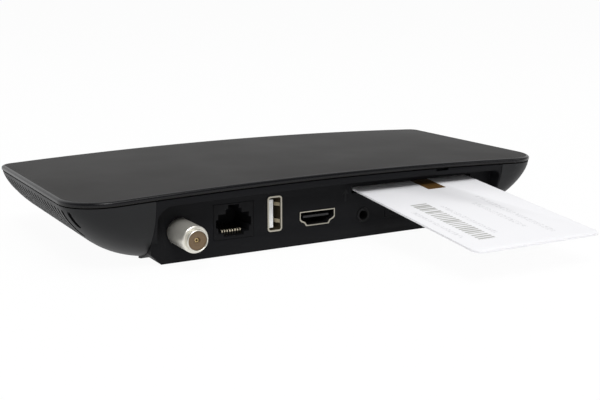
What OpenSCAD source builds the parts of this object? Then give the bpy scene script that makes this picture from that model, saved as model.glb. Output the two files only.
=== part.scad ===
// Satellite receiver in a slim boat-shaped housing, with a smart card in its rear slot.
// Millimetres. +Z is up, +Y points out of the connector side, +X is on the vent side.
// The origin is the middle of the flat underside.

/* [Housing] */
// Width over the rim of the top cover
body_w = 199; // [198:1:240]
// Depth over the rim of the top cover
body_d = 93; // [92:1:115]
// Height at the middle of the crowned top
body_h = 27.2; // [26.8:0.1:33]
// Fall of the crowned top from its middle to each end
crown_drop = 2.5; // [1:0.1:2.6]
// Thickness of the top cover, which is also the height of its rim
rim_h = 1.8; // [1.6:0.1:2.2]
// Width of the bevel around the top face
bevel_w = 1.4; // [1:0.1:2.2]
// Height of the bevel around the top face
bevel_h = 0.8; // [0.5:0.1:1.2]
// Height of the shadow groove between cover and lower shell
groove_h = 0.4; // [0.3:0.1:0.8]
// Step in from the rim to the lower shell
shell_step = 0.25; // [0.1:0.05:0.8]
// Corner radius of the rim at the connector side
corner_back = 17; // [12:0.5:19]
// Corner radius of the rim at the front
corner_front = 4; // [4:0.5:9]
// Wall of the plastic mouldings
wall = 2; // [1.6:0.1:2.3]
// How far the hull sweeps in under each end
sweep_side = 29; // [24:0.5:35]
// How far the hull sweeps in under the back
sweep_back = 19; // [16:0.5:23]
// How far the hull sweeps in under the front
sweep_front = 19; // [16:0.5:23]

/* [Vents] */
// Number of vent slots in the end of the hull
vent_count = 20; // [10:1:20]
// Spacing of the vent slots
vent_pitch = 4; // [3.4:0.1:4.1]
// Width of a vent slot
vent_w = 1.6; // [1:0.1:2]
// Middle of the vent row, measured from the middle of the depth
vent_mid = -2.5; // [-3:0.5:1]
// Height of the slots' lower ends
vent_low = 9; // [8:0.5:12]
// Height of the slots' upper ends
vent_high = 20.4; // [18:0.2:21]

/* [Rear panel] */
// Depth of the connector face behind the rim
panel_inset = 6.9; // [5:0.1:9]
// Distance from the vent end's rim to the panel's seam
seam_left = 28.9; // [26:0.1:32]
// Distance from the other end's rim to the panel's seam
seam_right = 23; // [21.5:0.1:26]
// Height of the recess's roof at the middle of the housing
recess_h = 22.7; // [21.8:0.1:23]
// Width of the plastic left between seam and recess
recess_edge = 0.6; // [0.5:0.1:1.5]
// Corner radius of the recess on the vent side
recess_r_left = 5.5; // [3:0.5:8]
// Corner radius of the recess on the card side
recess_r_right = 3; // [2:0.5:5]
// Width of the scooped end wall of the recess
scoop_w = 3; // [1:0.5:4]
// Bevel on the panel's lower corners
panel_bevel = 3.6; // [2:0.2:5]
// Gap all round between two mouldings
seam_gap = 0.15; // [0.1:0.05:0.25]

/* [Circuit board] */
// Height of the circuit board's top face
board_top = 6.3; // [6:0.1:7]
// Thickness of a circuit board
board_t = 1.6; // [1:0.1:2]
// Width of the main board
board_w = 140; // [130:1:150]
// Depth of the main board
board_d = 64; // [60:1:70]

/* [Connectors] */
// Distance from the seam to the coaxial connector
coax_x = 10.8; // [10:0.1:14]
// Height of the coaxial connector's axis over the board
coax_up = 4.6; // [4.6:0.1:5.6]
// Diameter of the coaxial connector's thread
coax_d = 9.5; // [9.4:0.05:9.6]
// Length of the coaxial connector outside the panel
coax_len = 15.2; // [10:0.1:18]
// Distance from the coaxial connector to the network socket
net_x = 20.6; // [16:0.1:24]
// Width of the network socket's face
net_w = 15.7; // [15.2:0.1:16.2]
// Height of the network socket's face
net_h = 12.9; // [12.5:0.1:13.5]
// Distance from the coaxial connector to the USB socket
usb_x = 37; // [32:0.1:42]
// Width of the upright USB socket
usb_w = 5.9; // [5.6:0.1:6.6]
// Height of the upright USB socket
usb_h = 13.1; // [12.5:0.1:14.1]
// Distance from the coaxial connector to the HDMI socket
hdmi_x = 54.8; // [50:0.1:60]
// Width of the HDMI socket
hdmi_w = 15; // [14.6:0.1:15.4]
// Height of the HDMI socket
hdmi_h = 5.6; // [5.4:0.1:5.9]
// Distance from the coaxial connector to the 3.5 mm jack
jack_x = 75; // [68:0.1:80]
// Bore of the 3.5 mm jack
jack_bore = 3.6; // [3.5:0.05:3.7]
// Outer diameter of the 3.5 mm jack's nose
jack_nose = 5.4; // [5:0.1:6]
// Distance from the coaxial connector to the power socket
power_x = 89.3; // [85:0.1:95]
// Width of the power socket
power_w = 9; // [8:0.1:10]
// Height of the power socket
power_h = 8.4; // [7.5:0.1:8.6]

/* [Card] */
// Distance from the card side's seam to the card's middle
card_x = 38.6; // [34:0.1:44]
// Height of the card's underside in the slot
card_z = 18.1; // [17.6:0.1:19]
// Slope of the card, down towards its outer end
card_tilt = 5.9; // [0:0.1:6.2]
// Width of the card
card_w = 53.98; // [53.92:0.01:54.03]
// Length of the card
card_l = 85.6; // [85.47:0.01:85.72]
// Thickness of the card
card_t = 0.76; // [0.68:0.01:0.84]
// Corner radius of the card
card_r = 3.18; // [2.88:0.1:3.48]
// Length of card inside the slot as shown
card_in = 11.7; // [5:0.1:39]
// Length of card inside the slot when it is seated
card_seat = 40; // [38:0.5:40]
// Gap between the card and the faces that guide it
card_gap = 0.15; // [0.1:0.05:0.3]

/* [Hidden] */

eps = 0.01;
half_w = body_w / 2;
half_d = body_d / 2;
crown_r = (half_w * half_w + crown_drop * crown_drop) / (2 * crown_drop);
part_z = body_h - rim_h;
hull_top = part_z - groove_h - crown_drop + 0.8;
hull_steps = 9;
crown_steps = 40;
corner_steps = 7;
side_power = 1.5;
end_power = 1.7;
corner_floor = 11.3;
corner_power = 0.7;
panel_y = half_d - panel_inset;
panel_back = panel_y - wall;
seam_l = half_w - seam_left;
seam_r = -(half_w - seam_right);
floor_back = half_d - shell_step - sweep_back;
recess_l = seam_l - recess_edge;
recess_r = seam_r + recess_edge;
port_gap = 0.1;
port_proud = 0.2;
usb_r = 1.2;
coax_at = seam_l - coax_x;
coax_z = board_top + coax_up;
net_at = coax_at - net_x;
usb_at = coax_at - usb_x;
hdmi_at = coax_at - hdmi_x;
jack_at = coax_at - jack_x;
power_at = coax_at - power_x;
card_at = seam_r + card_x;
net_z = board_top - 0.4 + net_h / 2;
usb_z = board_top + 0.25 + usb_h / 2;
hdmi_z = board_top + 0.7 + hdmi_h / 2;
jack_z = board_top + 2.2;
power_z = board_top + power_h / 2;
board_back = panel_back - 1.2;
board_left = seam_l - 3.6;
foot_d = 8;
foot_deep = 1;
foot_out = 0.5;
foot_x = half_w - shell_step - sweep_side - 12;
foot_y = [-(half_d - shell_step - sweep_front) + 10, floor_back - 10];
screw_d = 2.9;
screw_head_d = 5.4;
screw_head_h = 1.8;
screw_sink = 1;
screw_len = 16;
boss_d = 6.4;
screw_y = [foot_y[0], foot_y[1] - 4];
screw_at = [[34, screw_y[0]], [-34, screw_y[0]], [27, screw_y[1]], [-3, screw_y[1]]];
slot_h = 2.4;
reader_w = card_w + 5.6;
reader_l = card_seat + 4.5;
reader_floor = 1.35;
reader_lid_t = 0.3;
reader_board_t = 1.2;
cpu_at = [15, 38.4];
cpu_w = 19;
cpu_t = 1.6;
pad_t = 1;
sink_w = 30;
window_w = 26;
window_low = 8.5;
window_high = 14;
chip_l = 13.2;
chip_w = 8.2;
chip_off = -4.4;
chip_t = 0.2;
board_front = board_back - board_d;
led_x = -7;
notch_at = card_at - 9.1;
notch_w = 5.7;
notch_h = 0.8;
can_gap = 2.75;
can_x = [net_at + net_w / 2 + can_gap, seam_l - 3.8];
can_y = [board_back - 28, panel_back - 1];
can_h = 12;
coax_bore = 6.7;
coax_pin = 1.6;
coax_rim = 1.1;
coax_neck_l = 0.7;
coax_neck = 8.2;
net_deep = 13;
jack_deep = 11.8;
power_deep = 9.5;
sink_d = 22;
reader_end = -reader_l;
reader_mouth = -wall - 0.6;
reader_rail = card_t + card_gap + 0.05;
chip_mid = 15;
contact_y = chip_mid - card_seat;
dark_plastic = [0.16, 0.16, 0.17];
board_green = [0.1, 0.32, 0.2];
steel = [0.75, 0.75, 0.73];
gold = [0.83, 0.66, 0.3];

// Points of a rectangle with one corner radius at the front and another at the back
function arc_points(cx, cy, r, from) =
    [for (i = [0:corner_steps]) let (a = from + 90 * i / corner_steps)
        [cx + r * cos(a), cy + r * sin(a)]];
function outline(w, front, back, rf, rb) = concat(
    arc_points(w - rb, back - rb, rb, 0),
    arc_points(-(w - rb), back - rb, rb, 90),
    arc_points(-(w - rf), front + rf, rf, 180),
    arc_points(w - rf, front + rf, rf, 270));

// Share of a sweep used up at height z: flat at the underside, upright at the top
function share(z, power) = let (t = 1 - min(max(z, 0), hull_top) / hull_top)
    1 - pow(1 - pow(t, power), 1 / power);
function side_sweep(z) = sweep_side * share(z, side_power);
function front_sweep(z) = sweep_front * share(z, end_power);
function back_sweep(z) = sweep_back * share(z, end_power);

// How far a crowned surface has fallen at x, and its line from one x to another
function fall(x) = crown_r - sqrt(crown_r * crown_r - x * x);
function crown_line(top, from, to) = [for (i = [0:crown_steps])
    let (x = from + (to - from) * i / crown_steps) [x, top - fall(x)]];

module cover_outline(inset) {
    polygon(outline(half_w - inset, -(half_d - inset), half_d - inset,
        max(corner_front - inset, 0.5), max(corner_back - inset, 0.5)));
}

// Everything below a crowned surface whose middle is at height top
module under_crown(top) {
    reach = half_w + 2;
    upright(-body_d, body_d)
        polygon(concat(crown_line(top, -reach, reach), [[reach, -2], [-reach, -2]]));
}

// Heights at which the hull's outline is drawn, and its front and back edges at height z
function levels(inset) = [for (i = [0:hull_steps])
    inset + (hull_top - inset) * (1 - cos(90 * i / hull_steps))];
function front_edge(z) = front_sweep(z) + shell_step - half_d;
function back_edge(z) = half_d - shell_step - back_sweep(z);

module hull_section(z, inset) {
    at = z - inset;
    rise = pow(min(max(at, 0) / hull_top, 1), corner_power);
    rb = max(corner_floor + (corner_back - shell_step - corner_floor) * rise - inset, 2);
    rf = max(corner_front - shell_step - inset, 2);
    translate([0, 0, z]) linear_extrude(eps)
        polygon(outline(half_w - shell_step - inset - side_sweep(at), front_edge(at) + inset,
            back_edge(at) - inset, rf, rb));
}

// The boat hull, or the same form smaller by inset on its sides and raised by inset
module hull_solid(inset) {
    hull() {
        for (z = levels(inset)) hull_section(z, inset);
        hull_section(body_h, inset);
    }
}

module screw_places() {
    for (p = screw_at) translate([p[0], p[1], 0]) children();
}

module vent_slots() {
    first = vent_mid - (vent_count - 1) * vent_pitch / 2;
    reach = shell_step + side_sweep(vent_low - vent_w / 2 - wall) + 5 * wall;
    for (i = [0:vent_count - 1])
        translate([half_w + 1, first + i * vent_pitch, 0]) rotate([0, -90, 0])
            linear_extrude(reach + 1) hull() {
                translate([vent_low, 0]) circle(d = vent_w, $fn = 10);
                translate([vent_high, 0]) circle(d = vent_w, $fn = 10);
            }
}

module box(x0, x1, y0, y1, z0, z1) {
    translate([x0, y0, z0]) cube([x1 - x0, y1 - y0, z1 - z0]);
}

// A flat plate in the XZ plane, from y0 to y1, drawn by a 2D shape in X and Z
module upright(y0, y1) {
    translate([0, y1, 0]) rotate([90, 0, 0]) linear_extrude(y1 - y0) children();
}

// A bar along X, from x0 to x1, drawn by a 2D shape in Y and Z
module along_x(x0, x1) {
    translate([x0, 0, 0]) rotate([90, 0, 90]) linear_extrude(x1 - x0) children();
}

// A round bar along Y
module along_y(x, z, from, to, d, sides = 64) {
    translate([x, to, z]) rotate([90, 0, 0]) cylinder(d = d, h = to - from, $fn = sides);
}

module top_cover() {
    skirt_low = hull_top - 1.4;
    skirt_in = shell_step + wall + 2 * seam_gap + side_sweep(skirt_low - wall);
    color([0.29, 0.29, 0.29]) {
        difference() {
            hull() {
                intersection() {
                    linear_extrude(body_h + 1) cover_outline(bevel_w);
                    under_crown(body_h);
                }
                intersection() {
                    linear_extrude(body_h + 1) cover_outline(0);
                    under_crown(body_h - bevel_h);
                }
            }
            under_crown(part_z);
        }
        difference() {
            intersection() {
                translate([0, 0, skirt_low]) linear_extrude(body_h) cover_outline(skirt_in);
                under_crown(part_z + 0.4);
            }
            linear_extrude(body_h) cover_outline(skirt_in + 1.2);
            box(seam_r - 6, seam_l + 6, 0, half_d, 0, body_h);
        }
        intersection() {
            screw_places() difference() {
                translate([0, 0, board_top]) cylinder(d = boss_d, h = body_h, $fn = 32);
                cylinder(d = screw_d - 0.5, h = board_top + screw_len, $fn = 24);
            }
            under_crown(part_z + 0.4);
        }
    }
}

module lower_shell() {
    board_low = board_top - board_t;
    color(dark_plastic) intersection() {
        difference() {
            union() {
                difference() {
                    hull_solid(0);
                    hull_solid(wall);
                }
                screw_places() cylinder(d = boss_d + 2, h = board_low, $fn = 32);
            }
            translate([0, 0, -eps]) screw_places() {
                cylinder(d = screw_d + 0.4, h = body_h, $fn = 24);
                cylinder(d = screw_head_d + 0.4, h = screw_sink + screw_head_h + eps, $fn = 32);
            }
            for (x = [-foot_x, foot_x], y = foot_y)
                translate([x, y, -eps]) cylinder(d = foot_d + 0.2, h = foot_deep + eps, $fn = 32);
            box(seam_r - seam_gap, seam_l + seam_gap, floor_back - seam_gap, body_d, -1, body_h + 1);
            window_box(seam_gap);
            vent_slots();
        }
        under_crown(part_z - groove_h);
    }
}

// The block that holds the infrared window, larger by gap all round
module window_box(gap) {
    box(-window_w / 2 - gap, window_w / 2 + gap, -half_d, -half_d + sweep_front,
        window_low - gap, window_high + gap);
}

module front_window() {
    inner = levels(wall);
    color([0.2, 0.05, 0.06]) intersection() {
        along_x(-window_w, window_w) polygon(concat(
            [for (z = levels(0)) [front_edge(z), z]],
            [for (i = [hull_steps:-1:0]) [front_edge(inner[i] - wall) + wall, inner[i]]]));
        window_box(0);
    }
}

module light_pipe() {
    inner = front_edge(window_low + 1.2 - wall) + wall + 0.4;
    bend = board_front + 1.5;
    color([0.9, 0.9, 0.92]) {
        box(led_x - 1.5, led_x + 1.5, inner, bend, window_low + 1.2, window_low + 3.2);
        box(led_x - 1.5, led_x + 1.5, bend, bend + 2, board_top + 1.3, window_low + 3.2);
        box(led_x - 1.5, led_x + 1.5, bend + 1.9, bend + 3.5, board_top, window_low + 3.2);
    }
}

module rubber_feet() {
    color([0.08, 0.08, 0.08]) for (x = [-foot_x, foot_x], y = foot_y)
        translate([x, y, -foot_out]) cylinder(d = foot_d, h = foot_out + foot_deep, $fn = 48);
}

module case_screws() {
    color(steel) screw_places() translate([0, 0, screw_sink]) {
        difference() {
            cylinder(d = screw_head_d, h = screw_head_h, $fn = 32);
            for (a = [0, 90]) rotate([0, 0, a])
                translate([0, 0, 0.4]) cube([screw_head_d * 0.6, 0.8, 1], center = true);
        }
        translate([0, 0, screw_head_h]) cylinder(d = screw_d - 0.5, h = screw_len, $fn = 24);
    }
}

// Rear panel: a face, a lip over the recess, and returns that meet the hull

module panel_outline() {
    top = part_z - groove_h;
    polygon([[seam_l, panel_bevel], [seam_l - panel_bevel, 0], [seam_r + panel_bevel, 0],
        [seam_r, panel_bevel], [seam_r, top], [seam_l, top]]);
}

// Recess seen from the back: its roof follows the crown between two rounded corners
module recess_outline() {
    x_l = recess_l - recess_r_left;
    x_r = recess_r + recess_r_right;
    polygon(concat(
        [[recess_l, -1]],
        arc_points(x_l, recess_h - fall(x_l) - recess_r_left, recess_r_left, 0),
        crown_line(recess_h, x_l - 1, x_r + 1),
        arc_points(x_r, recess_h - fall(x_r) - recess_r_right, recess_r_right, 90),
        [[recess_r, -1]]));
}

// Plan of the recess, whose end near the vents is a scooped wall
module recess_plan() {
    deep = panel_inset + 1;
    polygon(concat(
        [[recess_r, panel_y], [recess_r, half_d + 1]],
        [for (i = [0:corner_steps]) let (a = 90 * i / corner_steps)
            [recess_l - scoop_w * (1 - cos(a)), panel_y + deep * (1 - sin(a))]]));
}

module port_square(x, z, w, h) {
    translate([x, z]) square([w + 2 * port_gap, h + 2 * port_gap], center = true);
}

module port_holes() {
    low = panel_back - 1;
    high = panel_y + 1;
    along_y(coax_at, coax_z, low, high, coax_d + 2 * port_gap);
    along_y(jack_at, jack_z, low, high, jack_nose + 2 * port_gap);
    upright(low, high) {
        port_square(net_at, net_z, net_w, net_h);
        usb_frame(port_gap);
        port_square(power_at, power_z, power_w, power_h);
        translate([hdmi_at, hdmi_z]) hdmi_outline(port_gap);
    }
    card_frame() box(-card_w / 2 - 0.9, card_w / 2 + 0.9, -wall - 2, 3,
        (card_t - slot_h) / 2, (card_t + slot_h) / 2);
}

module rear_panel() {
    top = part_z - groove_h;
    color(dark_plastic) intersection() {
        difference() {
            union() {
                along_x(seam_r, seam_l) polygon(concat(
                    [[floor_back, 0]],
                    [for (z = levels(0)) [back_edge(z), z]],
                    [[back_edge(body_h), body_h], [floor_back, body_h]]));
                upright(floor_back, panel_y) panel_outline();
            }
            // Hollow behind the face, open towards the lower shell and the cover
            box(seam_r + wall, seam_l - wall, floor_back - 1, panel_back, wall, body_h);
            intersection() {
                upright(panel_y, half_d + 1) recess_outline();
                translate([0, 0, -1]) linear_extrude(body_h) recess_plan();
            }
            port_holes();
            // Pry notch in the lip, over the card slot
            box(notch_at - notch_w / 2, notch_at + notch_w / 2, half_d - 2.4, half_d,
                top - fall(notch_at) - notch_h, top + 1);
        }
        under_crown(top);
    }
}

module main_board() {
    color(board_green) difference() {
        box(board_left - board_w, board_left, board_front, board_back, board_top - board_t, board_top);
        screw_places() cylinder(d = screw_d + 0.5, h = body_h, $fn = 24);
    }
}

// Tuner: a folded can with a lid, on the board behind the coaxial connector

module tuner_shield() {
    sheet = 0.4;
    color(steel) difference() {
        box(can_x[0], can_x[1], can_y[0], can_y[1], board_top, board_top + can_h);
        box(can_x[0] + sheet, can_x[1] - sheet, can_y[0] + sheet, can_y[1] - sheet,
            board_top + sheet, body_h);
        along_y(coax_at, coax_z, can_y[1] - 1, can_y[1] + 1, coax_neck);
    }
}

module tuner_lid() {
    sheet = 0.35;
    color(steel) difference() {
        box(can_x[0] - sheet, can_x[1] + sheet, can_y[0] - sheet, can_y[1],
            board_top + can_h - 2.5, board_top + can_h + sheet);
        box(can_x[0], can_x[1], can_y[0], can_y[1] + 1, board_top, board_top + can_h);
    }
}

module coax_body() {
    tip = panel_y + coax_len;
    rim = tip - coax_rim;
    thread_end = rim - coax_neck_l;
    color([0.8, 0.79, 0.75]) difference() {
        union() {
            along_y(coax_at, coax_z, can_y[1] - 3, can_y[1] + 1, coax_neck);
            along_y(coax_at, coax_z, can_y[1], panel_y, coax_d - 0.4);
            along_y(coax_at, coax_z, panel_y, thread_end - 0.4, coax_d);
            along_y(coax_at, coax_z, thread_end - 0.5, thread_end, coax_d - 0.5);
            along_y(coax_at, coax_z, thread_end - 0.1, rim + 0.1, coax_d - 2);
            along_y(coax_at, coax_z, rim, tip, coax_d - 1.5);
            upright(can_y[1], panel_back - 0.2) translate([coax_at, coax_z])
                circle(d = coax_d + 1.6, $fn = 6);
        }
        along_y(coax_at, coax_z, can_y[1] - 4, tip + 1, coax_bore);
    }
}

module coax_insulator() {
    color([0.42, 0.34, 0.24]) difference() {
        along_y(coax_at, coax_z, can_y[1] - 2, panel_y + coax_len - 0.5, coax_bore);
        along_y(coax_at, coax_z, can_y[1] - 3, panel_y + coax_len, coax_pin, 24);
    }
}

module coax_contact() {
    color(gold) difference() {
        along_y(coax_at, coax_z, can_y[1] - 4.5, panel_y + coax_len - 1.2, coax_pin, 24);
        along_y(coax_at, coax_z, panel_y + coax_len - 6, panel_y + coax_len, 0.9, 24);
    }
}

// Network socket: stepped opening, with the latch upwards and eight contacts below

module net_opening() {
    polygon([[-6, -4.2], [-6, -2.15], [-6.85, -2.15], [-6.85, 0.9], [-6, 0.9], [-6, 2.75],
        [-3.1, 2.75], [-3.1, 4.45], [-2.1, 4.45], [-2.1, 5.9], [2.1, 5.9], [2.1, 4.45],
        [3.1, 4.45], [3.1, 2.75], [6, 2.75], [6, 0.9], [6.85, 0.9], [6.85, -2.15],
        [6, -2.15], [6, -4.2], [3.9, -4.2], [3.9, -5.35], [-3.9, -5.35], [-3.9, -4.2]]);
}

module net_housing() {
    color([0.1, 0.1, 0.11]) difference() {
        union() {
            box(net_at - net_w / 2, net_at + net_w / 2, panel_y - 17.5, panel_y,
                board_top, net_z + net_h / 2);
            box(net_at - net_w / 2, net_at + net_w / 2, board_back + 0.2, panel_y,
                net_z - net_h / 2, net_z);
        }
        upright(panel_y - net_deep, panel_y + 1) translate([net_at, net_z]) net_opening();
    }
}

// Each contact runs forward on the notch's floor, turns up and springs back over itself
module net_contacts() {
    front = panel_y - 2.2;
    color(gold) for (i = [0:7]) translate([net_at + (i - 3.5) * 1.02, 0, net_z]) {
        box(-0.2, 0.2, panel_y - net_deep, front, -5.35, -5);
        box(-0.2, 0.2, front - 0.4, front, -5.1, -3.6);
        translate([0, front, -3.9]) rotate([-8, 0, 0]) box(-0.2, 0.2, -7, 0, 0, 0.3);
    }
}

module net_transformer() {
    color([0.09, 0.09, 0.09])
        box(net_at - 7, net_at + 7, panel_y - 31.5, panel_y - 21, board_top, board_top + 5);
}

module usb_frame(grow) {
    x = usb_w / 2 + grow;
    z = usb_h / 2 + grow;
    translate([usb_at, usb_z]) polygon(outline(x, -z, z, usb_r + grow, usb_r + grow));
}

module usb_shell() {
    sheet = 0.35;
    body = -0.25;
    x = usb_w / 2 + body;
    color(steel) difference() {
        union() {
            upright(panel_y - 14, panel_y) usb_frame(body);
            upright(panel_y - 1, panel_y + port_proud) usb_frame(0);
            for (y = [-12, -6]) box(usb_at - x, usb_at - x + sheet, panel_y + y,
                panel_y + y + 1.5, board_top, usb_z);
            for (y = [-12, -6]) box(usb_at + x - sheet, usb_at + x, panel_y + y,
                panel_y + y + 1.5, board_top, usb_z);
        }
        upright(panel_y - 14 + sheet, panel_y + 1) usb_frame(body - sheet);
    }
}

module usb_tongue() {
    back = panel_y - 13.65;
    color([0.92, 0.92, 0.92]) {
        box(usb_at + 0.35, usb_at + 2.1, back, panel_y - 0.6, usb_z - 5.2, usb_z + 5.2);
        box(usb_at - 2.2, usb_at + 2.2, back, back + 2, usb_z - 5.2, usb_z + 5.2);
    }
}

module usb_contacts() {
    color(gold) for (z = [-3.5, -1, 1, 3.5])
        box(usb_at + 0.2, usb_at + 0.35, panel_y - 11.65, panel_y - 1.6,
            usb_z + z - 0.5, usb_z + z + 0.5);
}

module hdmi_outline(grow) {
    hw = hdmi_w / 2 + grow;
    hh = hdmi_h / 2 + grow;
    polygon([[-hw, hh], [hw, hh], [hw, -hh + 2.4], [hw - 0.7, -hh + 1.7], [hw - 1.9, -hh + 1.2],
        [hw - 2.7, -hh], [-hw + 2.7, -hh], [-hw + 1.9, -hh + 1.2], [-hw + 0.7, -hh + 1.7],
        [-hw, -hh + 2.4]]);
}

module hdmi_shell() {
    color(steel) {
        difference() {
            upright(panel_y - 11, panel_y + port_proud) translate([hdmi_at, hdmi_z]) hdmi_outline(0);
            upright(panel_y - 10.6, panel_y + 1) translate([hdmi_at, hdmi_z]) hdmi_outline(-0.4);
        }
        for (x = [-4.5, 3], y = [-9, -6]) box(hdmi_at + x, hdmi_at + x + 1.5, panel_y + y,
            panel_y + y + 1, board_top, hdmi_z - hdmi_h / 2 + 0.1);
    }
}

module hdmi_tongue() {
    color([0.08, 0.08, 0.08]) {
        box(hdmi_at - 5.5, hdmi_at + 5.5, panel_y - 10.6, panel_y - 1, hdmi_z + 0.1, hdmi_z + 1);
        box(hdmi_at - 3.5, hdmi_at + 3.5, panel_y - 10.6, panel_y - 9, hdmi_z - 2.3, hdmi_z + 2.3);
    }
}

module hdmi_contacts() {
    color(gold) for (i = [0:9])
        box(hdmi_at + i - 4.7, hdmi_at + i - 4.3, panel_y - 8.5, panel_y - 2,
            hdmi_z - 0.08, hdmi_z + 0.1);
}

module jack_body() {
    color([0.1, 0.1, 0.11]) difference() {
        union() {
            box(jack_at - 3, jack_at + 3, panel_y - 14, panel_back - 0.2, board_top, board_top + 5);
            along_y(jack_at, jack_z, panel_back - 0.3, panel_y + port_proud, jack_nose);
        }
        along_y(jack_at, jack_z, panel_y - jack_deep, panel_y + 1, jack_bore, 48);
    }
}

module jack_springs() {
    color(gold) for (y = [-11, -7])
        box(jack_at - 1.5, jack_at + 1.5, panel_y + y, panel_y + y + 1.2, board_top + 5, board_top + 5.4);
}

module power_body() {
    color([0.1, 0.1, 0.11]) difference() {
        box(power_at - power_w / 2, power_at + power_w / 2, panel_y - 13.5, panel_y,
            board_top, board_top + power_h);
        along_y(power_at, power_z, panel_y - power_deep, panel_y + 1, 5.6, 48);
    }
}

module power_pin() {
    color(steel) along_y(power_at, power_z, panel_y - power_deep, panel_y - 1, 2, 32);
}

// Card reader, in a frame that slopes with the card, whose origin is the card's underside in the slot

module card_frame() {
    translate([card_at, panel_y, card_z]) rotate([-card_tilt, 0, 0]) children();
}

module reader_base() {
    inner = card_w / 2 + card_gap;
    color([0.12, 0.12, 0.13]) card_frame() difference() {
        box(-reader_w / 2, reader_w / 2, reader_end, reader_mouth, -reader_floor, reader_rail);
        box(-inner, inner, -card_seat - 0.2, 1, -card_gap, reader_rail + 1);
        box(-inner + 6, inner - 6, -card_seat + 6, reader_mouth - 10, -reader_floor - 1, 1);
    }
}

module reader_cover() {
    color(steel) card_frame() difference() {
        box(-reader_w / 2, reader_w / 2, reader_end, reader_mouth, reader_rail,
            reader_rail + reader_lid_t);
        translate([chip_off, contact_y, 0])
            box(-chip_w / 2 - 1, chip_w / 2 + 1, -7, 7, 0, reader_rail + 1);
    }
}

module reader_contacts() {
    color(gold) card_frame() for (i = [-1:1], side = [0, 1])
        translate([chip_off + i * 2.54, contact_y, 0]) mirror([0, side, 0]) {
            box(-0.4, 0.4, 0.8, 7, reader_rail, reader_rail + reader_lid_t);
            box(-0.3, 0.3, 3, 4.6, card_t + 0.1, reader_rail + 0.1);
        }
}

module reader_board() {
    color(board_green) card_frame() box(-reader_w / 2, reader_w / 2, reader_end, reader_mouth,
        -reader_floor - reader_board_t, -reader_floor);
}

// Height of the reader board's underside at depth y
function reader_low(y) = card_z - (reader_floor + reader_board_t + 0.02) / cos(card_tilt)
    + (panel_y - y) * tan(card_tilt);

// Two wedge rails carry the reader's board over the sockets below it
module reader_stand() {
    back = panel_y + reader_end * cos(card_tilt);
    rail = 2;
    color([0.85, 0.84, 0.8]) for (x = [-reader_w / 2, reader_w / 2 - rail])
        translate([card_at + x, 0, 0]) rotate([90, 0, 90]) linear_extrude(rail) difference() {
            polygon([[back, board_top], [board_back, board_top],
                [board_back, reader_low(board_back)], [back, reader_low(back)]]);
            for (i = [0:2]) translate([back + 4 + 12.5 * i, board_top + 3]) square([8, 4]);
        }
}

module board_header() {
    x = card_at - 9;
    y = board_back - 30;
    block = 2.5;
    color([0.1, 0.1, 0.1]) box(x, x + 18, y, y + block, board_top, board_top + block);
    color(gold) for (i = [0:6]) translate([x + 1.4 + i * 2.54, y + block / 2, board_top + block])
        box(-0.3, 0.3, -0.3, 0.3, -0.1, reader_low(y + block) - board_top - block - 0.02);
}

// Parts on the main board, each placed by its distance in from the board's rear edge

module on_board(x, inward) {
    translate([x, board_back - inward, board_top]) children();
}

module processor() {
    color([0.12, 0.12, 0.12]) on_board(cpu_at[0], cpu_at[1])
        box(-cpu_w / 2, cpu_w / 2, -cpu_w / 2, cpu_w / 2, 0, cpu_t);
}

module thermal_pad() {
    color([0.6, 0.62, 0.65]) on_board(cpu_at[0], cpu_at[1])
        box(-cpu_w / 2, cpu_w / 2, -cpu_w / 2, cpu_w / 2, cpu_t, cpu_t + pad_t);
}

module heat_sink() {
    fins = 9;
    fin_t = 1.2;
    pitch = (sink_w - fin_t) / (fins - 1);
    color([0.5, 0.5, 0.52]) on_board(cpu_at[0], cpu_at[1]) translate([0, 0, cpu_t + pad_t]) {
        box(-sink_w / 2, sink_w / 2, -sink_d / 2, sink_d / 2, 0, 2);
        for (i = [0:fins - 1]) translate([-sink_w / 2 + i * pitch, 0, 0])
            box(0, fin_t, -sink_d / 2, sink_d / 2, 1.9, 9);
    }
}

module memory_chips() {
    color([0.12, 0.12, 0.12]) for (p = [[42, 38.4], [-20, 20.4]])
        on_board(p[0], p[1]) box(-4.5, 4.5, -6.5, 6.5, 0, 1.1);
}

module flash_chip() {
    color([0.12, 0.12, 0.12]) on_board(-50, 16.4) box(-6, 6, -9, 9, 0, 1);
}

module capacitors() {
    color([0.2, 0.2, 0.22]) for (x = [-62, -53, -44]) on_board(x, 56.4) cylinder(d = 6.3, h = 9, $fn = 32);
}

module inductors() {
    color([0.3, 0.3, 0.3]) for (x = [-60, -48]) on_board(x, 37.4) box(-3.4, 3.4, -3.4, 3.4, 0, 3.8);
}

module crystal() {
    color(steel) on_board(24, 56.4) box(-5.5, 5.5, -2.3, 2.3, 0, 3.4);
}

module infrared_receiver() {
    color([0.1, 0.08, 0.1]) on_board(6, board_d - 3.8) {
        box(-3, 3, -1.9, 2, 0, 6);
        translate([0, -1.5, 3.6]) sphere(d = 3.4, $fn = 32);
    }
}

module status_led() {
    color([0.9, 0.2, 0.2]) on_board(led_x, board_d - 2.5) box(-1, 1, -0.8, 0.8, 0, 1);
}

// Smart card with rounded corners, and the contact plate set into its upper face

module card_outline() {
    w = card_w / 2 - card_r;
    translate([-card_w / 2, card_r - card_in]) square([card_w, card_l - 2 * card_r]);
    translate([-w, -card_in]) square([2 * w, card_l]);
    for (x = [-w, w], y = [card_r - card_in, card_l - card_r - card_in])
        translate([x, y]) circle(r = card_r, $fn = 48);
}

module chip_box() {
    translate([chip_off, chip_mid - card_in, 0])
        box(-chip_w / 2, chip_w / 2, -chip_l / 2, chip_l / 2, card_t - chip_t, card_t + 1);
}

module smart_card() {
    color([0.93, 0.93, 0.94]) card_frame() difference() {
        linear_extrude(card_t) card_outline();
        chip_box();
    }
}

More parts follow.
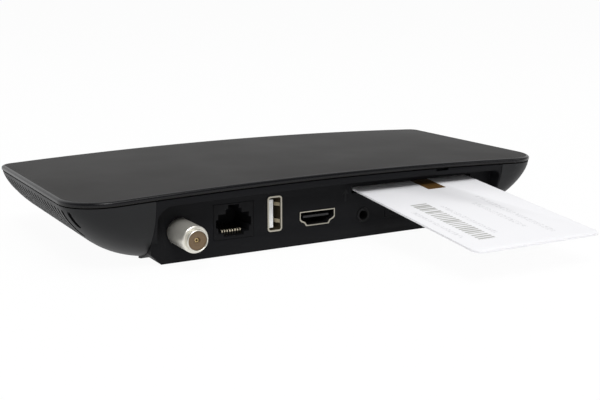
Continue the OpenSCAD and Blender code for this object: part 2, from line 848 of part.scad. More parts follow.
module card_chip() {
    color(gold) card_frame() intersection() {
        linear_extrude(card_t) card_outline();
        chip_box();
    }
}

top_cover();
lower_shell();
rear_panel();
front_window();
light_pipe();
rubber_feet();
case_screws();
main_board();
tuner_shield();
tuner_lid();
coax_body();
coax_insulator();
coax_contact();
net_housing();
net_contacts();
net_transformer();
usb_shell();
usb_tongue();
usb_contacts();
hdmi_shell();
hdmi_tongue();
hdmi_contacts();
jack_body();
jack_springs();
power_body();
power_pin();
reader_stand();
reader_board();
board_header();
reader_base();
reader_cover();
reader_contacts();
processor();
thermal_pad();
heat_sink();
memory_chips();
flash_chip();
capacitors();
inductors();
crystal();
infrared_receiver();
status_led();
smart_card();
card_chip();
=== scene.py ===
import math

import bmesh
import bpy
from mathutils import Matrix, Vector


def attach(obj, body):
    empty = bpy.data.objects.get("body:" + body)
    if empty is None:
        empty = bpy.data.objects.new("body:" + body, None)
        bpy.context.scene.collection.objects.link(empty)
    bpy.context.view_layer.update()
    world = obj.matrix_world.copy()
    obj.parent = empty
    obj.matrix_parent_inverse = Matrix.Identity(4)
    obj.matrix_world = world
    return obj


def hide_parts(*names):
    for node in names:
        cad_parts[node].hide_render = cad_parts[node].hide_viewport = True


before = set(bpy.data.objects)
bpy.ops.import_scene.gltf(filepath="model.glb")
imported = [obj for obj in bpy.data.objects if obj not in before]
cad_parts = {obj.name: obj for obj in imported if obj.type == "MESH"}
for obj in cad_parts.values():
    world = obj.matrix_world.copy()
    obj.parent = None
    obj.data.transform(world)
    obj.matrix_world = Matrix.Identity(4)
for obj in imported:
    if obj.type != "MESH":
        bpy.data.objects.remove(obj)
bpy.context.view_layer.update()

mm = 0.001

# Camera. It looks at the connectors from beyond the vent end, 7 cm above the cover: a 64 mm lens
# on a 36 mm sensor, about 39 cm from them.
aim = Vector((12.3, 39.6, 17.08)) * mm
swing, rise, reach = math.radians(150.58), math.radians(11.98), 387.85 * mm
away = Vector((math.sin(swing) * math.cos(rise), -math.cos(swing) * math.cos(rise), math.sin(rise)))
bpy.ops.object.camera_add(location=aim + away * reach)
camera = bpy.context.object
camera.name = "studio_camera"
camera.rotation_euler = (-away).to_track_quat("-Z", "Y").to_euler()
camera.data.lens = 63.763
camera.data.sensor_width = 36
camera.data.clip_start = 0.01
camera.data.clip_end = 20
bpy.context.scene.camera = camera
bpy.context.scene.view_settings.view_transform = "Standard"

# Sweep of white paper under the receiver. It lies 0.02 mm below the feet's soles and takes the soft
# shadow; lenses and polished metal see it as nearly plain white.
paper_level = -0.52 * mm
paper_glow = 0.955
bpy.ops.mesh.primitive_plane_add(size=12, location=(0, 0, paper_level))
paper = bpy.context.object
paper.name = "paper_sweep"
paper_white = bpy.data.materials.new("paper_white")
paper_white.use_nodes = True
sheet_nodes = paper_white.node_tree.nodes
sheet_links = paper_white.node_tree.links
paper_look = sheet_nodes["Principled BSDF"]
paper_look.inputs["Base Color"].default_value = (0.93, 0.93, 0.93, 1)
paper_look.inputs["Roughness"].default_value = 0.9
paper_look.inputs["Specular IOR Level"].default_value = 0.1
glow = sheet_nodes.new("ShaderNodeEmission")
glow.inputs["Color"].default_value = (1, 1, 1, 1)
glow.inputs["Strength"].default_value = 1
paper_ray = sheet_nodes.new("ShaderNodeLightPath")
watched = sheet_nodes.new("ShaderNodeMath")
watched.operation = "MAXIMUM"
sheet_links.new(paper_ray.outputs["Is Camera Ray"], watched.inputs[0])
sheet_links.new(paper_ray.outputs["Is Glossy Ray"], watched.inputs[1])
watched_all = sheet_nodes.new("ShaderNodeMath")
watched_all.operation = "MAXIMUM"
sheet_links.new(watched.outputs[0], watched_all.inputs[0])
sheet_links.new(paper_ray.outputs["Is Transmission Ray"], watched_all.inputs[1])
paper_share = sheet_nodes.new("ShaderNodeMath")
paper_share.operation = "MULTIPLY"
paper_share.inputs[1].default_value = paper_glow
sheet_links.new(watched_all.outputs[0], paper_share.inputs[0])
paper_mix = sheet_nodes.new("ShaderNodeMixShader")
sheet_links.new(paper_share.outputs[0], paper_mix.inputs[0])
sheet_links.new(paper_look.outputs[0], paper_mix.inputs[1])
sheet_links.new(glow.outputs[0], paper_mix.inputs[2])
sheet_links.new(paper_mix.outputs[0], sheet_nodes["Material Output"].inputs["Surface"])
paper.data.materials.append(paper_white)

# Studio light. A large soft box hangs over the table, a smaller one high beside the camera and one
# beyond the card; the backdrop is white to the lens, and polished surfaces see it fade to dark.
room = bpy.data.worlds.new("white_room")
bpy.context.scene.world = room
room.use_nodes = True
air, pipes = room.node_tree.nodes, room.node_tree.links
air.clear()
ray = air.new("ShaderNodeLightPath")
looking = air.new("ShaderNodeMath")
looking.operation = "MAXIMUM"
pipes.new(ray.outputs["Is Camera Ray"], looking.inputs[0])
pipes.new(ray.outputs["Is Transmission Ray"], looking.inputs[1])
direction = air.new("ShaderNodeTexCoord")
heading = air.new("ShaderNodeSeparateXYZ")
pipes.new(direction.outputs["Generated"], heading.inputs[0])
backdrop = air.new("ShaderNodeMapRange")
backdrop.inputs["From Min"].default_value = -0.85
backdrop.inputs["From Max"].default_value = 0.15
backdrop.inputs["To Min"].default_value = 0.85
backdrop.inputs["To Max"].default_value = 0.1
pipes.new(heading.outputs["Y"], backdrop.inputs["Value"])
mirrored = air.new("ShaderNodeMix")
mirrored.inputs[2].default_value = 0.42
pipes.new(ray.outputs["Is Glossy Ray"], mirrored.inputs[0])
pipes.new(backdrop.outputs["Result"], mirrored.inputs[3])
strength = air.new("ShaderNodeMix")
strength.inputs[3].default_value = 1
pipes.new(looking.outputs[0], strength.inputs[0])
pipes.new(mirrored.outputs[0], strength.inputs[2])
white_air = air.new("ShaderNodeBackground")
white_air.inputs["Color"].default_value = (1, 1, 1, 1)
pipes.new(strength.outputs[0], white_air.inputs["Strength"])
sky = air.new("ShaderNodeOutputWorld")
pipes.new(white_air.outputs[0], sky.inputs["Surface"])
for name, place, size, power in (
    ("overhead_box", (0.1, 0.6, 1.35), 1.2, 11),
    ("camera_side_box", (0.42, 0.86, 1.29), 0.4, 8),
    ("card_end_box", (-1.2, 0.7, 0.7), 0.7, 2.5),
):
    bpy.ops.object.light_add(type="AREA", location=place)
    lamp = bpy.context.object
    lamp.name = name
    lamp.data.size = size
    lamp.data.energy = power
    lamp.rotation_euler = (-Vector(place)).to_track_quat("-Z", "Y").to_euler()


# Lower shell. A boat-shaped moulding in satin black plastic whose ends, back and front sweep in
# under the rim, 2 mm thick. Twenty upright slots through one end let the warm air out; the first and
# the last two end higher, where the hull's corners turn in.
def alone(piece):
    for other in bpy.context.selected_objects:
        other.select_set(False)
    piece.select_set(True)
    bpy.context.view_layer.objects.active = piece


def edit(piece):
    alone(piece)
    bpy.ops.object.mode_set(mode="EDIT")
    bpy.ops.mesh.select_all(action="SELECT")


def leave():
    bpy.ops.object.mode_set(mode="OBJECT")


def pick(piece, kind, wanted):
    bpy.ops.mesh.select_mode(type=kind)
    bpy.ops.mesh.select_all(action="DESELECT")
    shape = bmesh.from_edit_mesh(piece.data)
    for part in {"VERT": shape.verts, "FACE": shape.faces}[kind]:
        if wanted(part):
            part.select_set(True)
    shape.select_flush_mode()
    bmesh.update_edit_mesh(piece.data)


def settle(piece, angle=30, doubles=1e-7):
    edit(piece)
    bpy.ops.mesh.select_mode(type="VERT")
    bpy.ops.mesh.select_all(action="SELECT")
    if doubles:
        bpy.ops.mesh.remove_doubles(threshold=doubles)
    bpy.ops.mesh.normals_make_consistent(inside=False)
    leave()
    bpy.ops.object.transform_apply(location=True, rotation=True, scale=True)
    bpy.ops.object.shade_smooth_by_angle(angle=math.radians(angle))


def modify(piece, kind, **settings):
    alone(piece)
    change = piece.modifiers.new(kind.lower(), kind)
    for key, value in settings.items():
        setattr(change, key, value)
    bpy.ops.object.modifier_apply(modifier=change.name)


def paint(piece, *finishes):
    piece.data.materials.clear()
    for finish in finishes:
        piece.data.materials.append(finish)


def fit(piece, node, body="receiver"):
    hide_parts(node)
    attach(piece, body)


def joined(pieces, name):
    alone(pieces[0])
    for piece in pieces:
        piece.select_set(True)
    bpy.ops.object.join()
    pieces[0].name = name
    return pieces[0]


def block(name, low, high):
    bpy.ops.mesh.primitive_cube_add(size=1, location=[(a + b) / 2 * mm for a, b in zip(low, high)])
    made = bpy.context.object
    made.name = name
    made.scale = [(b - a) * mm for a, b in zip(low, high)]
    alone(made)
    bpy.ops.object.transform_apply(location=True, rotation=True, scale=True)
    return made


def drum(name, radius, x, y, low, high, sides=32):
    bpy.ops.mesh.primitive_cylinder_add(vertices=sides, radius=radius * mm, depth=(high - low) * mm,
                                        location=(x * mm, y * mm, (low + high) / 2 * mm))
    made = bpy.context.object
    made.name = name
    alone(made)
    bpy.ops.object.transform_apply(location=True, rotation=True, scale=True)
    return made


def cut(piece, tool, operation="DIFFERENCE"):
    modify(piece, "BOOLEAN", operation=operation, solver="EXACT", object=tool)
    bpy.data.objects.remove(tool)


def surface(name, colour, rough, metal=0.0, gloss=0.5, grain=1800, tone=0.1, drift=0.06, relief=0.1,
            depth=0.02):
    """A finish with fine grain, slow drift of tone and gloss, and a light relief. Grain is per metre."""
    made = bpy.data.materials.new(name)
    made.use_nodes = True
    nodes, links = made.node_tree.nodes, made.node_tree.links
    look = nodes["Principled BSDF"]
    look.inputs["Metallic"].default_value = metal
    look.inputs["Specular IOR Level"].default_value = gloss
    place = nodes.new("ShaderNodeTexCoord")
    fine = nodes.new("ShaderNodeTexNoise")
    fine.inputs["Scale"].default_value = grain
    fine.inputs["Detail"].default_value = 3
    slow = nodes.new("ShaderNodeTexNoise")
    slow.inputs["Scale"].default_value = 38
    slow.inputs["Detail"].default_value = 4
    links.new(place.outputs["Object"], fine.inputs["Vector"])
    links.new(place.outputs["Object"], slow.inputs["Vector"])
    both = nodes.new("ShaderNodeMix")
    both.data_type = "FLOAT"
    both.inputs[0].default_value = 0.5
    links.new(fine.outputs["Fac"], both.inputs[2])
    links.new(slow.outputs["Fac"], both.inputs[3])
    hue = nodes.new("ShaderNodeMix")
    hue.name = "hue"
    hue.data_type = "RGBA"
    hue.inputs[6].default_value = (*[c * (1 - tone) for c in colour], 1)
    hue.inputs[7].default_value = (*[c * (1 + tone) for c in colour], 1)
    links.new(both.outputs[0], hue.inputs[0])
    links.new(hue.outputs[2], look.inputs["Base Color"])
    shine = nodes.new("ShaderNodeMapRange")
    shine.inputs["To Min"].default_value = max(rough - drift, 0.02)
    shine.inputs["To Max"].default_value = min(rough + drift, 1)
    links.new(slow.outputs["Fac"], shine.inputs["Value"])
    links.new(shine.outputs["Result"], look.inputs["Roughness"])
    bump = nodes.new("ShaderNodeBump")
    bump.inputs["Strength"].default_value = relief
    bump.inputs["Distance"].default_value = depth * mm
    links.new(fine.outputs["Fac"], bump.inputs["Height"])
    links.new(bump.outputs["Normal"], look.inputs["Normal"])
    return made


rim_half, rim_deep = 99.5 * mm, 46.5 * mm
corner_back, corner_front = 17 * mm, 4 * mm
crown_fall = 2.5 * mm
crown_radius = (rim_half ** 2 + crown_fall ** 2) / (2 * crown_fall)
wall = 2 * mm
shell_step = 0.25 * mm
shell_high = 25 * mm
hull_top = 23.3 * mm
side_sweep, end_sweep = 29 * mm, 19 * mm
side_power, end_power, corner_power = 1.5, 1.7, 0.7
corner_floor = 11.3 * mm
arc_parts, back_parts, side_parts = 14, 26, 22


def fall(x):
    return crown_radius - math.sqrt(crown_radius ** 2 - x * x)


def share(z, power):
    t = 1 - min(max(z, 0), hull_top) / hull_top
    return 1 - (1 - t ** power) ** (1 / power)


def hull_outline(z):
    wide = rim_half - shell_step - side_sweep * share(z, side_power)
    deep = rim_deep - shell_step - end_sweep * share(z, end_power)
    lift = min(max(z, 0) / hull_top, 1) ** corner_power
    r_back = corner_floor + (corner_back - shell_step - corner_floor) * lift
    r_front = corner_front - shell_step
    arcs = ((wide - r_back, deep - r_back, r_back, 0), (r_back - wide, deep - r_back, r_back, 90),
            (r_front - wide, r_front - deep, r_front, 180), (wide - r_front, r_front - deep, r_front, 270))
    line = []
    for n, (x, y, r, start) in enumerate(arcs):
        turn = [math.radians(start + 90 * i / arc_parts) for i in range(arc_parts + 1)]
        line += [Vector((x + r * math.cos(a), y + r * math.sin(a), 0)) for a in turn]
        x2, y2, r2, start2 = arcs[(n + 1) % 4]
        begin = math.radians(start2)
        ahead = Vector((x2 + r2 * math.cos(begin), y2 + r2 * math.sin(begin), 0))
        parts = back_parts if n % 2 == 0 else side_parts
        line += [line[-1].lerp(ahead, i / parts) for i in range(1, parts)]
    return line


def hull_point(i, part):
    z = part * shell_high
    for _ in range(2):
        spot = hull_outline(z)[i]
        z = part * (shell_high - fall(spot.x))
    spot = hull_outline(z)[i].copy()
    spot.z = z
    return spot


sides = len(hull_outline(0))
bpy.ops.mesh.primitive_circle_add(vertices=sides, radius=30 * mm, fill_type="NGON")
shell = bpy.context.object
shell.name = "boat_shell"
for v in shell.data.vertices:
    v.co = hull_point(v.index, 0)
rings = 22
# Each ring is drawn up a little, and its points are then set on the hull
edit(shell)
for k in range(1, rings + 1):
    bpy.ops.mesh.extrude_region_move(TRANSFORM_OT_translate={"value": (0, 0, 0.1 * mm)})
    part = 1 - math.cos(math.pi / 2 * k / rings)
    hull = bmesh.from_edit_mesh(shell.data)
    hull.verts.ensure_lookup_table()
    number = hull.verts.layers.int.get("around") or hull.verts.layers.int.new("around")
    if k == 1:
        for v in hull.verts:
            v[number] = min(range(sides), key=lambda i: (hull_point(i, 0).xy - v.co.xy).length_squared)
    for v in hull.verts:
        if v.select:
            v.co = hull_point(v[number], part)
    bmesh.update_edit_mesh(shell.data)
bpy.ops.mesh.delete(type="ONLY_FACE")
bpy.ops.mesh.select_all(action="SELECT")
bpy.ops.mesh.normals_make_consistent(inside=False)
leave()
modify(shell, "SOLIDIFY", thickness=wall, offset=-1, use_even_offset=True)
cut(shell, block("panel_space", (-76.65, 27.1, -1), (70.75, 60, 40)))
cut(shell, block("window_space", (-13.15, -60, 8.35), (13.15, -27.35, 14.15)))
slot_count, slot_pitch, slot_first = 20, 4, -40.5
slot_radius, slot_high, slot_length = 0.8, 20.4, 11.4
slot_reach, slot_middle = 24, 89
short_slots = {0: 7, 18: 8.4, 19: 4.4}
slot_tools = []
for i in range(slot_count):
    bpy.ops.mesh.primitive_cylinder_add(vertices=28, radius=slot_radius * mm, depth=slot_reach * mm,
                                        location=(slot_middle * mm, 0, slot_high * mm),
                                        rotation=(0, math.pi / 2, 0))
    slot_tool = bpy.context.object
    alone(slot_tool)
    bpy.ops.object.transform_apply(location=True, rotation=True, scale=True)
    edit(slot_tool)
    pick(slot_tool, "VERT", lambda v: v.co.z < (slot_high - 0.01) * mm)
    bpy.ops.transform.translate(value=(0, 0, -short_slots.get(i, slot_length) * mm))
    leave()
    slot_tool.location.y = (slot_first + slot_pitch * i) * mm
    bpy.ops.object.transform_apply(location=True, rotation=True, scale=True)
    slot_tools.append(slot_tool)
cut(shell, joined(slot_tools, "slot_row"))
foot_x, foot_y = 58.25, 17.25
foot_places = [(x, y) for x in (-foot_x, foot_x) for y in (-foot_y, foot_y)]
screw_places = [(34, -foot_y), (-34, -foot_y), (27, foot_y - 4), (-3, foot_y - 4)]
seat_radius, boss_radius, head_radius, way_radius = 4.1, 4.2, 2.9, 1.65
foot_seats = [drum("foot_seat", seat_radius, x, y, -1, 1, 48) for x, y in foot_places]
cut(shell, joined(foot_seats, "foot_seats"))
bosses = [drum("boss", boss_radius, x, y, 1, 4.7) for x, y in screw_places]
cut(shell, joined(bosses, "bosses"), "UNION")
head_sinks = [drum("head_sink", head_radius, x, y, -1, 2.8) for x, y in screw_places]
cut(shell, joined(head_sinks, "head_sinks"))
screw_ways = [drum("screw_way", way_radius, x, y, 2, 6) for x, y in screw_places]
cut(shell, joined(screw_ways, "screw_ways"))
settle(shell, angle=25)
satin_shell = surface("satin_shell", (0.017, 0.0175, 0.0185), 0.45, gloss=0.15, grain=2600, relief=0.1)
# The vent slots' walls take a near-black second finish: painted shade inside the slots.
paint(shell, satin_shell, surface("slot_wall_painted_shade", (0.004, 0.004, 0.0045), 0.7, gloss=0.05, grain=2600))
slots_from, slots_half = 62 * mm, 41 * mm
for f in shell.data.polygons:
    if abs(f.normal.y) > 0.95 and f.center.x > slots_from and abs(f.center.y) < slots_half:
        f.material_index = 1
fit(shell, "lower_shell")

# Feet. Four pale grey silicone discs with a rounded edge, pressed into seats in the shell's floor.
foot_radius, sole, foot_top = 4, -0.5, 1
discs = [drum("rubber_disc", foot_radius, x, y, sole, foot_top, 48) for x, y in foot_places]
feet = joined(discs, "rubber_discs")
modify(feet, "BEVEL", width=0.35 * mm, segments=3, limit_method="ANGLE", angle_limit=math.radians(60))
settle(feet)
paint(feet, surface("grey_silicone", (0.72, 0.72, 0.7), 0.55, gloss=0.3, grain=3200, relief=0.2))
fit(feet, "rubber_feet")


# Circuit boards. Glass-fibre boards under green solder mask, the large one on the shell's bosses
# and the small one under the card reader; pale lines show the tracks beneath the mask.
def solder_mask(name, scale):
    made = surface(name, (0.016, 0.085, 0.045), 0.32, gloss=0.45, grain=2400, tone=0.15)
    nodes, links = made.node_tree.nodes, made.node_tree.links
    cells = nodes.new("ShaderNodeTexVoronoi")
    cells.feature = "DISTANCE_TO_EDGE"
    cells.inputs["Scale"].default_value = scale
    place = nodes.new("ShaderNodeTexCoord")
    links.new(place.outputs["Object"], cells.inputs["Vector"])
    track = nodes.new("ShaderNodeMath")
    track.operation = "LESS_THAN"
    track.inputs[1].default_value = 0.06
    links.new(cells.outputs["Distance"], track.inputs[0])
    lit = nodes.new("ShaderNodeMix")
    lit.data_type = "RGBA"
    lit.inputs[7].default_value = (0.04, 0.2, 0.09, 1)
    links.new(track.outputs[0], lit.inputs[0])
    links.new(nodes["hue"].outputs[2], lit.inputs[6])
    links.new(lit.outputs[2], nodes["Principled BSDF"].inputs["Base Color"])
    return made


paint(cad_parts["main_board"], solder_mask("board_mask", 260))
paint(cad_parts["reader_board"], solder_mask("reader_mask", 320))

# Chips. Black moulded packages flat on the board: processor, two memories and flash store. The
# network transformer and the infrared receiver are made of the same kind of resin.
for node, tint in (("processor", 0.014), ("memory_chips", 0.017), ("flash_chip", 0.016),
                   ("net_transformer", 0.012), ("infrared_receiver", 0.02)):
    resin = surface("resin_" + node, (tint, tint, tint * 1.04), 0.55, gloss=0.35, grain=3000, relief=0.2)
    paint(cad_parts[node], resin)

# Heat sink and its pad. Black-grey anodised aluminium with nine fins, on a soft grey silicone pad.
soft_pad = surface("soft_pad", (0.33, 0.36, 0.4), 0.85, gloss=0.2, grain=2800, relief=0.25)
paint(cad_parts["thermal_pad"], soft_pad)
anodised = surface("anodised", (0.22, 0.22, 0.24), 0.42, metal=0.9, grain=4200, tone=0.15, relief=0.12)
paint(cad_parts["heat_sink"], anodised)

# Power parts. Three capacitors in shrunk black sleeves, two ferrite inductors, and the quartz
# crystal in its tinned can.
paint(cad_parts["capacitors"], surface("can_sleeve", (0.02, 0.021, 0.03), 0.3, grain=900))
ferrite = surface("ferrite", (0.06, 0.058, 0.056), 0.7, grain=3600, tone=0.2, relief=0.3)
paint(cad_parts["inductors"], ferrite)
crystal_can = surface("crystal_can", (0.62, 0.61, 0.58), 0.28, metal=1, grain=1500, tone=0.08)
paint(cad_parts["crystal"], crystal_can)

# Status lamp. A red lens on the board; a bent bar of pale acrylic carries its light to the window.
paint(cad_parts["status_led"], surface("red_lens", (0.55, 0.03, 0.03), 0.2, grain=1500))
clear_acrylic = surface("clear_acrylic", (0.78, 0.81, 0.83), 0.12, grain=700, relief=0.03)
paint(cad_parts["light_pipe"], clear_acrylic)

# Tuner. A folded can of tinned steel and its snap-on lid, soldered to the board behind the aerial
# connector.
for node in ("tuner_shield", "tuner_lid"):
    tinned = surface("tinned_" + node, (0.6, 0.6, 0.57), 0.34, metal=1, grain=700, tone=0.14, drift=0.12,
                     relief=0.08)
    paint(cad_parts[node], tinned)


# Coaxial connector. A turned barrel in satin nickel with a narrow groove and a thin rounded ring at
# its mouth, its fine thread shown as grain and relief only; a brown moulded insulator fills it and
# holds the gold socket of the inner conductor.
def lathe(name, profile, x=0, z=0, sides=72, upright=False):
    """Spin a closed profile of (distance along the axis, radius) in mm about an axis along Y or Z."""
    bpy.ops.mesh.primitive_plane_add(size=mm)
    made = bpy.context.object
    made.name = name
    edit(made)
    bpy.ops.mesh.merge(type="CENTER")
    bpy.ops.transform.translate(value=(profile[0][1] * mm, profile[0][0] * mm, 0))
    for (a, r), (b, q) in zip(profile, profile[1:]):
        step = ((q - r) * mm, (b - a) * mm, 0)
        bpy.ops.mesh.extrude_vertices_move(TRANSFORM_OT_translate={"value": step})
    bpy.ops.mesh.select_all(action="SELECT")
    bpy.ops.mesh.spin(steps=sides, angle=2 * math.pi, center=(0, 0, 0), axis=(0, 1, 0))
    bpy.ops.mesh.select_all(action="SELECT")
    bpy.ops.mesh.remove_doubles(threshold=1e-6)
    leave()
    if upright:
        made.rotation_euler = (math.pi / 2, 0, 0)
    made.location = (x * mm, 0, z * mm)
    settle(made)
    return made


coax_x, coax_z = 59.8, 10.9
barrel = lathe("coax_barrel", [
    (33.6, 3.35), (33.6, 4.1), (36.6, 4.1), (36.6, 4.55), (39.6, 4.55), (39.6, 4.68), (39.75, 4.75),
    (46, 4.75), (52.4, 4.75), (52.75, 4.66), (52.95, 4.42), (53, 4.1), (53, 3.56), (53.1, 3.5),
    (53.6, 3.5), (53.7, 3.56), (53.75, 3.7), (53.9, 3.78), (54.4, 3.78), (54.68, 3.72), (54.8, 3.6),
    (54.8, 3.48), (54.72, 3.38), (54.55, 3.35), (33.6, 3.35)], coax_x, coax_z)
satin_nickel = surface("satin_nickel", (0.8, 0.78, 0.71), 0.34, metal=0.75, grain=1100, tone=0.16,
                       drift=0.12, relief=0.5, depth=0.05)
paint(barrel, satin_nickel)
fit(barrel, "coax_body")
plug_core = lathe("coax_core", [
    (34.6, 0.82), (34.6, 3.35), (54.15, 3.35), (54.3, 3.25), (54.3, 1.5), (54.42, 1.4), (54.42, 1.12),
    (54.25, 1), (53.9, 0.82), (34.6, 0.82)], coax_x, coax_z, 56)
core_brown = surface("core_brown", (0.15, 0.1, 0.055), 0.5, gloss=0.35, grain=1600, tone=0.08, relief=0.12)
paint(plug_core, core_brown)
fit(plug_core, "coax_insulator")
core_socket = lathe("coax_socket", [
    (32.1, 0), (32.1, 0.8), (53.4, 0.8), (53.6, 0.66), (53.6, 0.45), (48.8, 0.45), (48.8, 0)],
    coax_x, coax_z, 32)
contact_gold = surface("contact_gold", (0.8, 0.6, 0.3), 0.28, metal=1, grain=1800, tone=0.08)
paint(core_socket, contact_gold)
fit(core_socket, "coax_contact")


# Network socket. A black moulded jack with a stepped mouth, its latch notch upwards; eight sprung
# wires rise out of the floor, painted near-black below and behind their bright tips as painted shade.
def refine(node, name, width, segments=2, angle=35):
    """A working copy of a CAD mesh, with its flat faces made whole and its edges broken by a radius."""
    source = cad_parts[node]
    made = source.copy()
    made.data = source.data.copy()
    made.parent = None
    for key in list(made.keys()):
        del made[key]
    bpy.context.scene.collection.objects.link(made)
    made.name = name
    edit(made)
    bpy.ops.mesh.remove_doubles(threshold=2e-6)
    bpy.ops.mesh.dissolve_limited(angle_limit=math.radians(0.08))
    leave()
    modify(made, "BEVEL", width=width * mm, segments=segments, limit_method="ANGLE",
           angle_limit=math.radians(angle))
    settle(made, angle=25, doubles=0)
    return made


net_jack = refine("net_housing", "network_jack", 0.14)
socket_black = surface("socket_black", (0.0075, 0.0076, 0.0085), 0.45, gloss=0.08, grain=2400, relief=0.14)
paint(net_jack, socket_black)
fit(net_jack, "net_housing")
bent_y, tip_y = 36.5 * mm, 36.9 * mm
bent_z, tip_z = 8 * mm, 8.2 * mm
wires = surface("contact_wires", (0.85, 0.76, 0.58), 0.35, metal=0.4, grain=2600)
wire_nodes, wire_links = wires.node_tree.nodes, wires.node_tree.links
wire_place = wire_nodes.new("ShaderNodeTexCoord")
wire_axes = wire_nodes.new("ShaderNodeSeparateXYZ")
wire_links.new(wire_place.outputs["Object"], wire_axes.inputs[0])
wire_tip = wire_nodes.new("ShaderNodeMapRange")
wire_tip.inputs["From Min"].default_value = bent_y
wire_tip.inputs["From Max"].default_value = tip_y
wire_links.new(wire_axes.outputs["Y"], wire_tip.inputs["Value"])
wire_high = wire_nodes.new("ShaderNodeMapRange")
wire_high.inputs["From Min"].default_value = bent_z
wire_high.inputs["From Max"].default_value = tip_z
wire_links.new(wire_axes.outputs["Z"], wire_high.inputs["Value"])
wire_end = wire_nodes.new("ShaderNodeMath")
wire_end.operation = "MULTIPLY"
wire_links.new(wire_tip.outputs["Result"], wire_end.inputs[0])
wire_links.new(wire_high.outputs["Result"], wire_end.inputs[1])
# Away from the tips the wires' colour is painted near-black: painted shade inside the jack.
wire_painted_shade = wire_nodes.new("ShaderNodeMix")
wire_painted_shade.data_type = "RGBA"
wire_painted_shade.inputs[6].default_value = (0.02, 0.017, 0.012, 1)
wire_links.new(wire_end.outputs[0], wire_painted_shade.inputs[0])
wire_links.new(wire_nodes["hue"].outputs[2], wire_painted_shade.inputs[7])
wire_links.new(wire_painted_shade.outputs[2], wire_nodes["Principled BSDF"].inputs["Base Color"])
paint(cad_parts["net_contacts"], wires)

# USB socket. A drawn steel frame stood on end, its rounded lip in bright steel and its inside painted
# dark brass as painted shade, with two sprung tabs in one wall facing the white tongue that carries four
# gold contacts.
usb_frame = refine("usb_shell", "usb_frame", 0.1)
usb_x, usb_z = 22.8, 13.1
tab_rise, tab_half, tab_back, tab_front = 3.1, 0.7, 33.4, 39.2
bow_start, bow_length = 34, 4.9
tab_parts, tab_part = 12, 0.483
tabs = []
for z in (usb_z - tab_rise, usb_z + tab_rise):
    tab = block("usb_tab", (usb_x - 2.45, tab_back, z - tab_half), (usb_x - 2.3, tab_front, z + tab_half))
    edit(tab)
    for step in range(1, tab_parts):
        bpy.ops.mesh.select_all(action="SELECT")
        bpy.ops.mesh.bisect(plane_co=(0, (tab_back + tab_part * step) * mm, 0), plane_no=(0, 1, 0))
    leave()
    for v in tab.data.vertices:
        bow = min(max((v.co.y / mm - bow_start) / bow_length, 0), 1)
        v.co.x += mm * math.sin(math.pi * bow) ** 2
    tabs.append(tab)
usb_tabs = joined(tabs, "usb_tabs")
modify(usb_tabs, "BEVEL", width=0.04 * mm, segments=2, limit_method="ANGLE", angle_limit=math.radians(50))
settle(usb_tabs)
steel_lip = surface("steel_lip", (0.44, 0.415, 0.35), 0.34, metal=0.9, grain=1500, tone=0.1)
brassy_painted_shade = surface("brassy_painted_shade", (0.1, 0.08, 0.05), 0.42, metal=0.6, grain=1300, tone=0.2)
paint(usb_frame, steel_lip, brassy_painted_shade)
usb_lip, inside_half, inside_high = 39.55, 2.5, 6.1
# Faces inside the mouth take the dark brass finish: painted shade within the frame.
for f in usb_frame.data.polygons:
    across, along, up = f.center.x / mm - usb_x, f.center.y / mm, f.center.z / mm - usb_z
    if along < usb_lip and abs(across) < inside_half and abs(up) < inside_high:
        f.material_index = 1
fit(usb_frame, "usb_shell")
paint(usb_tabs, surface("tab_brass", (0.75, 0.66, 0.48), 0.3, metal=0.5, grain=1500))
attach(usb_tabs, "receiver")
usb_tongue = refine("usb_tongue", "usb_tongue_moulded", 0.12)
paint(usb_tongue, surface("tongue_white", (0.86, 0.86, 0.85), 0.35, gloss=0.4, grain=1500, tone=0.04))
fit(usb_tongue, "usb_tongue")
paint(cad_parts["usb_contacts"], surface("usb_gold", (0.78, 0.6, 0.32), 0.3, metal=1, grain=1700))

# HDMI socket. A thin pressed frame with its lower corners cut away, cream plating on its front face
# and painted glossy black behind it as painted shade, round a glossy black tongue with fine contacts.
hdmi_frame = refine("hdmi_shell", "hdmi_frame", 0.08)
hdmi_black_and_painted_shade = surface("hdmi_black_and_painted_shade", (0.008, 0.008, 0.009), 0.2, gloss=0.4, grain=1500)
paint(hdmi_frame, steel_lip, hdmi_black_and_painted_shade)
hdmi_lip = 39.5 * mm
# Every face behind the front face takes the tongue's black: painted shade inside and round the mouth.
for f in hdmi_frame.data.polygons:
    if f.center.y < hdmi_lip:
        f.material_index = 1
fit(hdmi_frame, "hdmi_shell")
hdmi_tongue = refine("hdmi_tongue", "hdmi_tongue_moulded", 0.1)
paint(hdmi_tongue, hdmi_black_and_painted_shade)
fit(hdmi_tongue, "hdmi_tongue")
paint(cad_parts["hdmi_contacts"], surface("hdmi_gold", (0.6, 0.46, 0.24), 0.35, metal=1, grain=1700))

# Audio and video jack. A black moulded body whose round nose stands slightly proud of the panel's
# face; its contacts lie on top of the body.
av_jack = refine("jack_body", "av_jack", 0.16)
paint(av_jack, surface("jack_black", (0.009, 0.009, 0.0095), 0.4, gloss=0.12, grain=1500, relief=0.05))
fit(av_jack, "jack_body")
paint(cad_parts["jack_springs"], surface("jack_gold", (0.7, 0.54, 0.3), 0.32, metal=1, grain=1700))

# Power socket. A square black block behind the panel with a round mouth and a bright steel pin.
power_block = refine("power_body", "power_block", 0.16)
paint(power_block, socket_black)
fit(power_block, "power_body")
paint(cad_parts["power_pin"], surface("pin_steel", (0.6, 0.6, 0.58), 0.25, metal=1, grain=1200))

